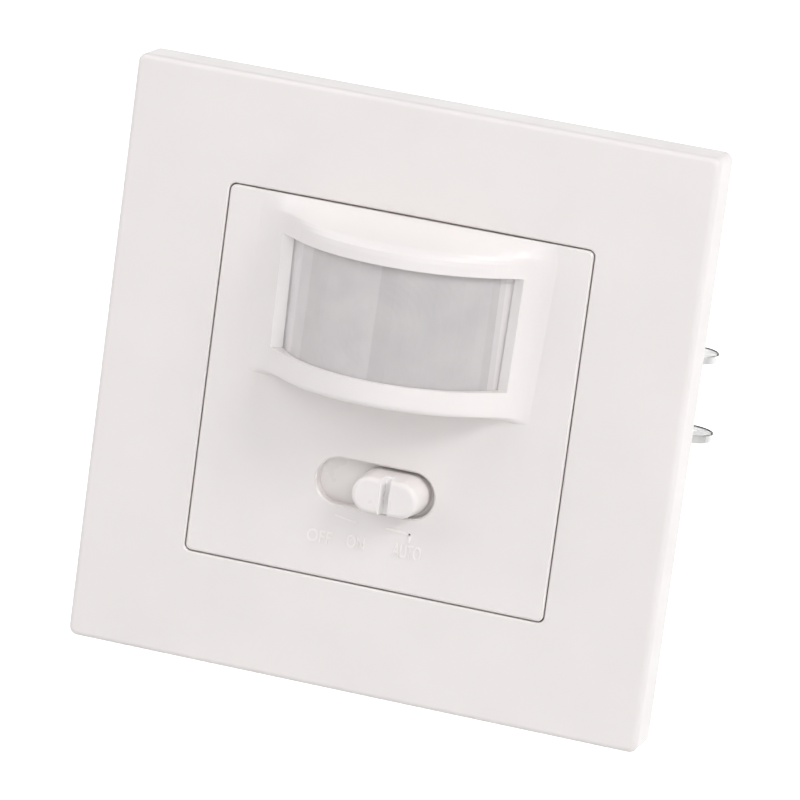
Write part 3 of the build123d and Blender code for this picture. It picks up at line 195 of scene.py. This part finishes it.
def noise(tree, size, detail=3, stretch=(1, 1, 1)):
    """Noise whose features are about size millimetres across, in the part's own coordinates."""
    node = tree.nodes.new("ShaderNodeTexNoise")
    node.inputs["Scale"].default_value = 1 / (size * MM)
    node.inputs["Detail"].default_value = detail
    tree.links.new(coordinates(tree, stretch), node.inputs["Vector"])
    return node.outputs["Fac"]


def bump(tree, shader, height, depth, strength=1.0):
    """Bump of a depth in millimetres on the shader's normal."""
    node = tree.nodes.new("ShaderNodeBump")
    node.inputs["Strength"].default_value = strength
    node.inputs["Distance"].default_value = depth * MM
    tree.links.new(height, node.inputs["Height"])
    tree.links.new(node.outputs["Normal"], shader.inputs["Normal"])


# Materials

def new_material(name, roughness, metallic=0.0):
    """A node material with its shader's constant values set, its node tree and its shader."""
    material = bpy.data.materials.new(name)
    material.use_nodes = True
    shader = material.node_tree.nodes["Principled BSDF"]
    shader.inputs["Roughness"].default_value = roughness
    shader.inputs["Metallic"].default_value = metallic
    return material, material.node_tree, shader


def shade(colour, share):
    """A colour darkened or lightened by a share."""
    return tuple(min(1.0, channel * share) for channel in colour)


def clouded(tree, low, high, size, detail):
    """Colour that drifts from low to high in clouds of a size."""
    return ramp(tree, noise(tree, size, detail), [(NOISE_LOW, low), (NOISE_HIGH, high)])


def gloss(tree, value, low, high):
    """Roughness from low to high over a noise value."""
    return remapped(tree, value, NOISE_LOW, NOISE_HIGH, low, high)


def moulded(name, colour, roughness, mottle=0.015, grain_size=0.3, grain_depth=0.006):
    """Moulded plastic: faint mottling, uneven gloss and a fine spark-eroded grain."""
    material, tree, shader = new_material(name, roughness)
    tint = clouded(tree, shade(colour, 1 - mottle), shade(colour, 1 + mottle), size=14, detail=2)
    uneven = gloss(tree, noise(tree, size=5), roughness - 0.04, roughness + 0.05)
    tree.links.new(tint, shader.inputs["Base Color"])
    tree.links.new(uneven, shader.inputs["Roughness"])
    bump(tree, shader, noise(tree, grain_size, detail=4), grain_depth)
    return material


def plated(name, colour, roughness, stretch=(1, 1, 1), size=0.8, depth=0.01):
    """Plated metal: drawn or rolled grain, cloudy gloss, faint change of tone."""
    material, tree, shader = new_material(name, roughness, 1.0)
    tint = clouded(tree, shade(colour, 0.86), shade(colour, 1.08), size=4, detail=5)
    streak = noise(tree, size, stretch=stretch)
    uneven = gloss(tree, streak, roughness - 0.08, roughness + 0.1)
    tree.links.new(tint, shader.inputs["Base Color"])
    tree.links.new(uneven, shader.inputs["Roughness"])
    bump(tree, shader, streak, depth)
    return material


def banded_lens(name):
    """Milky lens sheet: upright facets painted lighter and darker for the light and shade that fall on them,
    with fine rings behind them.
    """
    material, tree, shader = new_material(name, 0.3)
    shader.inputs["Transmission Weight"].default_value = 0.3
    shader.inputs["IOR"].default_value = 1.5
    tone = (0.808, 0.772, 0.774)
    rings_per_metre = 0.35 / MM
    # Where each facet starts, as a share of the width, and its painted shade: its tone as a share of the
    # lens's
    facet_painted_shade = (
        (0.00, 1.19), (0.115, 1.09), (0.175, 1.0), (0.262, 1.025), (0.488, 0.92),
        (0.85, 0.935), (0.88, 0.89), (0.903, 1.04), (0.92, 1.15),
    )
    across = remapped(tree, axes(tree, "Object")["X"], -LENS_HALF * MM, LENS_HALF * MM, 0, 1)
    stops = [(start, shade(tone, share)) for start, share in facet_painted_shade]
    # The facets' tones are painted shade and light, not the sheet's own colour
    tint = ramp(tree, across, stops, constant=True)
    cloud = ramp(tree, noise(tree, size=4), [(0.32, (0.93, 0.93, 0.94)), (0.68, (1, 1, 1))])
    tree.links.new(mixed(tree, "MULTIPLY", 1.0, tint, cloud), shader.inputs["Base Color"])
    rings = tree.nodes.new("ShaderNodeTexWave")
    rings.wave_type = "RINGS"
    rings.rings_direction = "Y"
    rings.inputs["Scale"].default_value = rings_per_metre
    tree.links.new(coordinates(tree, shift=(0, 0, -LENS_CENTRE * MM)), rings.inputs["Vector"])
    bump(tree, shader, rings.outputs["Fac"], depth=0.01)
    return material


def printed_board(name):
    """Circuit board: solder mask over copper tracks, which show as lighter, raised lines."""
    material, tree, shader = new_material(name, 0.35)
    mask, copper = (0.02, 0.16, 0.06), (0.04, 0.27, 0.11)
    cells_per_metre = 0.28 / MM
    line_spacing = 0.12
    cells = tree.nodes.new("ShaderNodeTexVoronoi")
    cells.distance = "CHEBYCHEV"
    cells.feature = "F1"
    cells.inputs["Scale"].default_value = cells_per_metre
    cells.inputs["Randomness"].default_value = 0.75
    tree.links.new(coordinates(tree), cells.inputs["Vector"])
    lines = calculated(tree, "PINGPONG", cells.outputs["Distance"], line_spacing)
    track = ramp(tree, lines, [(0.0, mask), (0.05, mask), (0.07, copper)])
    tree.links.new(track, shader.inputs["Base Color"])
    bump(tree, shader, lines, depth=0.2, strength=0.5)
    return material


def lighten(material, mask, colour):
    """Gives a material a lighter colour where the mask is one: painted light that lifts the shade in a
    recess.
    """
    tree = material.node_tree
    base = tree.nodes["Principled BSDF"].inputs["Base Color"]
    tint = base.links[0].from_socket
    tree.links.new(mixed(tree, "MIX", mask, tint, (*colour, 1)), base)


def lighten_window_walls(material, colour):
    """Lightens the flared side walls of the cover's window: painted light that lifts the shade in the
    window's recess, standing in for light through the thin plastic.
    """
    tree = material.node_tree
    place, direction = axes(tree, "Object"), axes(tree, "Normal")
    slant = calculated(tree, "MULTIPLY", place["X"], direction["X"])
    walls, height = near(tree, slant, *PAINTED_LIGHT_WALL_SLANT), near(tree, place["Z"], *PAINTED_LIGHT_WALL_HEIGHT)
    lighten(material, calculated(tree, "MULTIPLY", walls, height), colour)


def lighten_groove(material, colour):
    """Lightens the groove across the slide knob: painted light that lifts the shade in the groove."""
    tree = material.node_tree
    place = axes(tree, "Object")
    width, depth = near(tree, place["X"], *PAINTED_LIGHT_GROOVE_WIDTH), near(tree, place["Y"], *PAINTED_LIGHT_GROOVE_DEPTH)
    lighten(material, calculated(tree, "MULTIPLY", width, depth), colour)


WHITE = (0.80, 0.763, 0.755)
frame_white = moulded("frame_white", WHITE, 0.33)
cover_white = moulded("cover_white", shade(WHITE, 1.01), 0.33)
# Painted light on the window's side walls lifts their shade
lighten_window_walls(cover_white, (0.94, 0.915, 0.91))
# Marks: a lighter tone than the panel, a painted highlight on the raised letters and lines, and a lower
# roughness
mark_painted_highlight = moulded("mark_painted_highlight", shade(WHITE, 1.09), 0.3, grain_depth=0.002)
knob_white = moulded("knob_white", shade(WHITE, 1.02), 0.3, grain_depth=0.004)
# Painted light in the knob's groove lifts its shade
lighten_groove(knob_white, (0.89, 0.87, 0.865))
lens_milk = banded_lens("lens_milk")
retainer_grey = moulded("retainer_grey", (0.42, 0.42, 0.43), 0.45)
shell_grey = moulded("shell_grey", (0.55, 0.55, 0.56), 0.45, grain_size=0.5, grain_depth=0.012)
housing_grey = moulded("housing_grey", (0.62, 0.62, 0.61), 0.42, grain_size=0.6, grain_depth=0.015)
zinc_sheet = plated("zinc_sheet", (0.76, 0.765, 0.755), 0.32, stretch=(1, 1, 0.06))
# Dark steel for the bead round each claw tongue: painted shadow along the sheet's edge
edge_shadow_steel = plated("edge_shadow_steel", (0.28, 0.27, 0.26), 0.45)
zinc_screw = plated("zinc_screw", (0.70, 0.70, 0.68), 0.28, stretch=(1, 0.1, 1), size=0.4)
cage_steel = plated("cage_steel", (0.66, 0.64, 0.56), 0.34)
brass = plated("brass", (0.78, 0.58, 0.26), 0.3, stretch=(0.08, 1, 1))
tinned = plated("tinned", (0.74, 0.74, 0.72), 0.25)
can_metal = plated("can_metal", (0.76, 0.75, 0.72), 0.2, stretch=(1, 0.1, 1), size=0.3, depth=0.004)
black_plastic = moulded("black_plastic", (0.022, 0.022, 0.024), 0.4, grain_size=0.2, grain_depth=0.01)
dark_pane = moulded("dark_pane", (0.05, 0.045, 0.06), 0.12, grain_depth=0.001)
cell_red = moulded("cell_red", (0.45, 0.16, 0.08), 0.35)
trimmer_blue = moulded("trimmer_blue", (0.05, 0.13, 0.42), 0.38)
dial_white = moulded("dial_white", (0.72, 0.72, 0.68), 0.4)
board_green = printed_board("board_green")
sleeve_black = moulded("sleeve_black", (0.02, 0.022, 0.035), 0.22, grain_size=2, grain_depth=0.02)
ceramic_grey = moulded("ceramic_grey", (0.34, 0.32, 0.30), 0.5, grain_size=0.15, grain_depth=0.01)
relay_blue = moulded("relay_blue", (0.04, 0.12, 0.30), 0.3)
film_yellow = moulded("film_yellow", (0.55, 0.40, 0.06), 0.38)
surge_blue = moulded("surge_blue", (0.04, 0.10, 0.33), 0.28, grain_size=0.8, grain_depth=0.03)
resistor_tan = moulded("resistor_tan", (0.50, 0.40, 0.25), 0.45)
terminal_green = moulded("terminal_green", (0.05, 0.22, 0.12), 0.42)

finishes = {
    "outer_frame": frame_white, "centre_cover": cover_white, "mode_knob": knob_white,
    "fresnel_lens": lens_milk, "lens_retainer": retainer_grey, "front_shell": shell_grey,
    "rear_housing": housing_grey, "carrier_plate": zinc_sheet, "claw_right": zinc_sheet,
    "claw_left": zinc_sheet, "claw_screw_right": zinc_screw, "claw_screw_left": zinc_screw,
    "shell_screws": zinc_screw, "board_screws": zinc_screw, "power_board_screws": zinc_screw,
    "switch_case": tinned, "switch_slider": black_plastic, "switch_pins": tinned,
    "sensor_board": board_green, "power_board": board_green, "sensor_spacer": black_plastic,
    "motion_sensor_can": can_metal, "motion_sensor_pane": dark_pane,
    "motion_sensor_leads": tinned, "light_cell": cell_red,
    "lux_trimmer_base": trimmer_blue, "time_trimmer_base": trimmer_blue,
    "lux_trimmer_dial": dial_white, "time_trimmer_dial": dial_white,
    "controller_chip": black_plastic, "board_capacitors": sleeve_black,
    "chip_parts": ceramic_grey, "link_strip": black_plastic, "link_pins": brass,
    "link_socket": black_plastic, "relay": relay_blue, "film_capacitor": film_yellow,
    "smoothing_capacitor": sleeve_black, "bridge_rectifier": black_plastic,
    "surge_disc": surge_blue, "fuse": black_plastic, "power_resistors": resistor_tan,
    "terminal_block": terminal_green, "terminal_contacts": brass,
}
for pole in (1, 2, 3):
    finishes[f"terminal_cage_{pole}"] = cage_steel
    finishes[f"terminal_screw_{pole}"] = zinc_screw
for name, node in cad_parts.items():
    node.data.materials.clear()
    node.data.materials.append(finishes[name])


# Meshes, all sizes in millimetres

def skin(builder, rings):
    """Faces between closed rings of vertices, each with the next, and over both ends."""
    for lower, upper in zip(rings, rings[1:]):
        for index in range(len(lower)):
            following = (index + 1) % len(lower)
            builder.faces.new((lower[index], lower[following], upper[following], upper[index]))
    builder.faces.new(rings[0][::-1])
    builder.faces.new(rings[-1])


def finished(builder, name, smooth=False):
    """Mesh of what the builder holds."""
    for face in builder.faces:
        face.smooth = smooth
    mesh = bpy.data.meshes.new(name)
    builder.to_mesh(mesh)
    builder.free()
    return mesh


def closed(rings, name, smooth=False):
    """Mesh of one closed form, from rings of points in metres, with its faces turned outward."""
    builder = bmesh.new()
    skin(builder, [[builder.verts.new(point) for point in ring] for ring in rings])
    bmesh.ops.recalc_face_normals(builder, faces=builder.faces[:])
    return finished(builder, name, smooth)


def lettering(text, height, width=None, rise=LETTER_RISE):
    """Raised letters in the XY plane, centred; where a width is given, the word is stretched to it."""
    curve = bpy.data.curves.new("letters", "FONT")
    curve.body = text
    curve.align_x = "CENTER"
    curve.align_y = "CENTER"
    curve.size = height / CAPITAL_SHARE * MM
    curve.extrude = rise * MM
    curve.bevel_depth = LETTER_ROUNDING * MM
    maker = bpy.data.objects.new("letters", curve)
    bpy.context.scene.collection.objects.link(maker)
    bpy.context.view_layer.update()
    drawn = maker.evaluated_get(bpy.context.evaluated_depsgraph_get())
    mesh = bpy.data.meshes.new_from_object(drawn)
    bpy.data.objects.remove(maker)
    if width:
        spans = [vertex.co.x for vertex in mesh.vertices]
        stretch = width * MM / (max(spans) - min(spans))
        mesh.transform(Matrix.Diagonal((stretch, 1, 1, 1)))
    return mesh


def stroke(points):
    """Raised line through points in the XY plane, a little narrower at its top."""
    builder = bmesh.new()
    for start, end in zip(points, points[1:]):
        start, end = Vector(start) * MM, Vector(end) * MM
        middle = (start + end) / 2
        along = (end - start).normalized() * LINE_WIDTH / 2 * MM
        aside = Vector((-along.y, along.x))
        foot = [start - along - aside, end + along - aside, end + along + aside, start - along + aside]
        top = [corner + (middle - corner).normalized() * LINE_TAPER * MM for corner in foot]
        skin(builder, [
            [builder.verts.new((*corner, level * MM)) for corner in outline]
            for outline, level in ((foot, -LINE_RISE), (top, LINE_RISE))
        ])
    return finished(builder, "stroke")


def threaded(x, z, segments=24, steps=6):
    """Threaded shank of a claw's screw at x and z; steps are the rings to each turn."""
    length = THREAD_END - THREAD_START
    count = round(length / THREAD_PITCH * steps)
    rings = []
    for index in range(count + 1):
        along = THREAD_START + length * index / count
        fade = min(1.0, index / steps, (count - index) / steps)
        ring = []
        for turn in [segment / segments for segment in range(segments)]:
            phase = (along / THREAD_PITCH - turn) % 1
            reach = THREAD_RADIUS - THREAD_DEPTH * abs(2 * phase - 1) * fade
            angle = 2 * math.pi * turn
            ring.append(Vector((x + reach * math.cos(angle), along, z + reach * math.sin(angle))) * MM)
        rings.append(ring)
    return closed(rings, "thread")


def tongue_outline(reach, steps=20):
    """Points of a tongue's rounded end, from its near side to its far side."""
    turns = [math.pi * (step / steps - 0.5) for step in range(steps + 1)]
    return [
        (TONGUE_ROOT + reach * math.cos(turn), TONGUE_MIDDLE + TONGUE_HALF * math.sin(turn))
        for turn in turns
    ]


def tongue(side, upright, reach):
    """Rounded tongue of a claw's flange; side and upright are 1 or -1, for right or left and up or down."""
    layers = []
    for level, inset in TONGUE_LAYERS:
        share = 1 - inset / TONGUE_HALF
        layers.append([
            Vector((
                side * (TONGUE_ROOT + (x - TONGUE_ROOT) * share),
                TONGUE_MIDDLE + (y - TONGUE_MIDDLE) * share,
                upright * (FLANGE_FACE + level),
            )) * MM
            for x, y in tongue_outline(reach)
        ])
    return closed(layers, "tongue")


def cut_edge(side, level, reach, segments=8):
    """Round bead along the outer half of a tongue's edge, at a level; its dark steel is a painted shadow
    along the edge.
    """
    outline = tongue_outline(reach)
    points = [Vector((side * x, y, level)) for x, y in outline[len(outline) // 2:]]
    upright = Vector((0, 0, 1))
    angles = [2 * math.pi * segment / segments for segment in range(segments)]
    rings = []
    for before, point, after in zip(points[:1] + points, points, points[1:] + points[-1:]):
        across = (after - before).cross(upright).normalized()
        rings.append([
            (point + EDGE_SHADOW_RADIUS * (math.cos(angle) * across + math.sin(angle) * upright)) * MM
            for angle in angles
        ])
    return closed(rings, "wire", smooth=True)


def facing_room(x, z, level):
    """Matrix that stands an XY drawing on a face towards the room."""
    return Matrix.Translation((x * MM, -level * MM, z * MM)) @ Matrix.Rotation(math.pi / 2, 4, "X")


def facing_wall(x, z, level):
    """Matrix that stands an XY drawing on a face towards the wall, readable from behind."""
    turn = Matrix(((-1, 0, 0, 0), (0, 0, 1, 0), (0, 1, 0, 0), (0, 0, 0, 1)))
    return Matrix.Translation((x * MM, level * MM, z * MM)) @ turn


# Pieces

def add_piece(name, mesh, body, material):
    """Puts a mesh into the scene as a piece that rides on a body."""
    piece = bpy.data.objects.new(name, mesh)
    bpy.context.scene.collection.objects.link(piece)
    mesh.materials.clear()
    mesh.materials.append(material)
    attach(piece, body)


for name, text, x, z, height, width in (
    ("mark_off", "OFF", -6.7, -19.7, 1.8, 3.5),
    ("mark_on", "ON", -1.6, -19.5, 1.8, 2.5),
    ("mark_auto", "AUTO", 5.5, -19.4, 1.9, 3.9),
):
    mesh = lettering(text, height, width)
    mesh.transform(facing_room(x, z, PANEL_LEVEL))
    add_piece(name, mesh, "cover", mark_painted_highlight)
for name, points in (
    ("mark_line_left", [(-4.8, -16.3), (-2.0, -16.7)]),
    ("mark_line_right", [(2.4, -16.7), (5.6, -16.85), (5.6, -17.9)]),
):
    mesh = stroke(points)
    mesh.transform(facing_room(0, 0, PANEL_LEVEL))
    add_piece(name, mesh, "cover", mark_painted_highlight)
for pole in (1, 2, 3):
    mesh = lettering(str(pole), POLE_NUMBER_HEIGHT, rise=POLE_NUMBER_RISE)
    mesh.transform(facing_wall((pole - 2) * POLE_SPACING, POLE_NUMBER_PLACE, REAR_LEVEL))
    add_piece(f"pole_number_{pole}", mesh, "base", housing_grey)

for name, side in (("right", 1), ("left", -1)):
    mesh = threaded(x=side * SCREW_PLACE, z=0)
    add_piece(f"claw_thread_{name}", mesh, f"{name}_claw_bolt", zinc_screw)
for name, side in (("right", 1), ("left", -1)):
    for end, upright, reach, edge_level in (
        ("upper", 1, UPPER_TONGUE_REACH, FLANGE_FACE),
        ("lower", -1, LOWER_TONGUE_REACH, FLANGE_THICKNESS - FLANGE_FACE),
    ):
        mesh = tongue(side, upright, reach)
        add_piece(f"claw_tongue_{name}_{end}", mesh, f"{name}_claw", zinc_sheet)
        # Dark bead: painted shadow along the tongue's edge
        mesh = cut_edge(side, edge_level, reach)
        add_piece(f"claw_edge_shadow_{name}_{end}", mesh, f"{name}_claw", edge_shadow_steel)


# Floor, lights and camera

def add_floor():
    """A wide pale floor that curves up behind the part."""
    bends = [math.pi / 2 * step / BEND_STEPS for step in range(1, BEND_STEPS + 1)]
    profile = [(-FLOOR_HALF, 0.0), (FLOOR_END, 0.0)]
    profile += [
        (FLOOR_END + BACKDROP_BEND * math.sin(bend), BACKDROP_BEND - BACKDROP_BEND * math.cos(bend))
        for bend in bends
    ]
    profile.append((FLOOR_END + BACKDROP_BEND, BACKDROP_TOP))
    builder = bmesh.new()
    left, right = (
        [builder.verts.new((x, y, z + FLOOR_LEVEL)) for y, z in profile]
        for x in (-FLOOR_HALF, FLOOR_HALF)
    )
    for index in range(len(profile) - 1):
        builder.faces.new((left[index], right[index], right[index + 1], left[index + 1]))
    mesh = finished(builder, "floor", smooth=True)
    mesh.materials.append(floor_material())
    floor = bpy.data.objects.new("floor", mesh)
    bpy.context.scene.collection.objects.link(floor)


def floor_material():
    """Pale matt paper, lit more and more towards the backdrop."""
    material, tree, shader = new_material("floor_white", 0.9)
    tone = clouded(tree, (0.79, 0.79, 0.79), (0.81, 0.81, 0.81), size=80, detail=2)
    glow = remapped(tree, axes(tree, "Object")["Y"], 0, GLOW_END, 0, GLOW)
    shader.inputs["Specular IOR Level"].default_value = 0.0
    shader.inputs["Emission Color"].default_value = (1, 1, 1, 1)
    tree.links.new(tone, shader.inputs["Base Color"])
    tree.links.new(glow, shader.inputs["Emission Strength"])
    return material


def add_light(name, place, side, power):
    """Square soft light aimed at the part."""
    area = bpy.data.lights.new(name, "AREA")
    area.size = side
    area.energy = power
    lamp = bpy.data.objects.new(name, area)
    lamp.location = place
    lamp.rotation_euler = (-Vector(place)).to_track_quat("-Z", "Y").to_euler()
    bpy.context.scene.collection.objects.link(lamp)


add_floor()
for light in LIGHTS:
    add_light(*light)

scene = bpy.context.scene
scene.view_settings.view_transform = "Standard"
scene.world = bpy.data.worlds.new("studio")
scene.world.use_nodes = True
background = scene.world.node_tree.nodes["Background"]
background.inputs["Color"].default_value = (1, 1, 1, 1)
background.inputs["Strength"].default_value = WORLD_STRENGTH

camera = bpy.data.objects.new("camera", bpy.data.cameras.new("camera"))
camera.data.lens = CAMERA_LENS
camera.data.sensor_width = CAMERA_SENSOR
camera.location = CAMERA_PLACE
camera.rotation_euler = [math.radians(angle) for angle in CAMERA_TURN]
scene.collection.objects.link(camera)
scene.camera = camera
